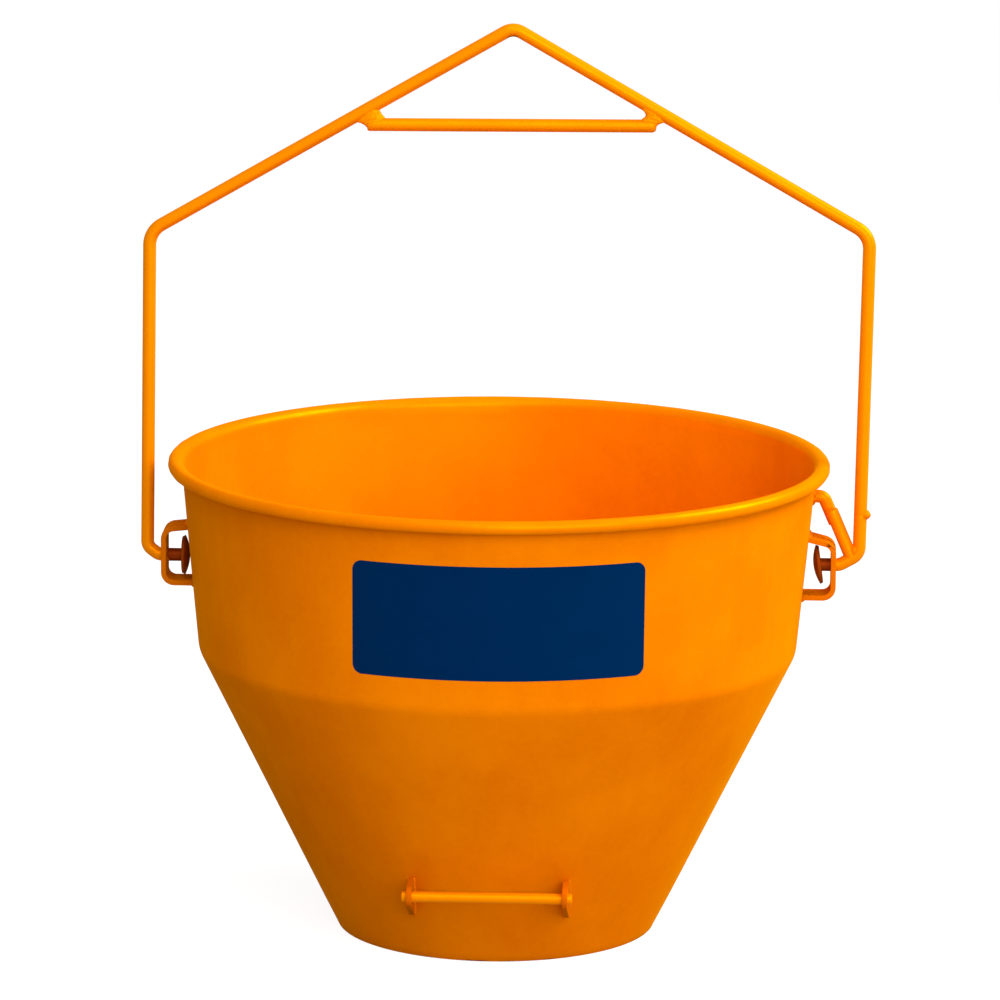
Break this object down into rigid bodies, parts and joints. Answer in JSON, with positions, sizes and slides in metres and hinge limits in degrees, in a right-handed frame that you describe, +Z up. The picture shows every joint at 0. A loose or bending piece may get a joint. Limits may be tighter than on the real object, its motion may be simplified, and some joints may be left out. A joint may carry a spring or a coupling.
{
  "type": "hoist bucket",
  "caption": "Welded sheet-steel tipping bucket with a rolled rim, hung in a peaked round-bar bail that swings forward from a stop, with a bar handle low on the front.",
  "frame": {"origin": "middle of the base plate's underside", "axes": "+Z up along the bucket's axis, +X to the right along the bail's pins, the tip handle at -Y"},
  "size_m": [0.5531, 0.4999, 0.6887],
  "materials": {
    "bucket_paint": "sprayed gloss enamel, orange",
    "bail_paint": "sprayed gloss enamel, orange",
    "wire_steel": "drawn wire, unpainted"
  },
  "bodies": {
    "bucket": {"upper_band": "bucket_paint", "rim_wire": "wire_steel", "lower_cone": "bucket_paint", "base_plate": "bucket_paint", "base_weld": "bucket_paint", "crease_weld": "bucket_paint", "band_seam_weld": "bucket_paint", "cone_seam_weld": "bucket_paint", "left_bracket": "bucket_paint", "right_bracket": "bucket_paint", "bracket_welds": "bucket_paint", "keeper_hook": "bucket_paint", "keeper_weld": "bucket_paint", "tip_handle_bar": "bucket_paint", "tip_handle_left_lug": "bucket_paint", "tip_handle_right_lug": "bucket_paint", "tip_handle_welds": "bucket_paint"},
    "bail": {"bail_rod": "bail_paint", "latch_end_rod": "bail_paint", "bail_splice_weld": "bail_paint", "spreader_bar": "bail_paint", "spreader_welds": "bail_paint", "latch_finger": "bail_paint", "latch_finger_weld": "bail_paint", "left_pin_washer": "bail_paint", "right_pin_washer": "bail_paint", "washer_welds": "bail_paint"}
  },
  "joints": [
    {"name": "bail_swing", "type": "hinge", "parent": "bucket", "child": "bail", "pos_m": [0, 0, 0.282], "axis": [1, 0, 0], "range_deg": [0, 135]}
  ]
}
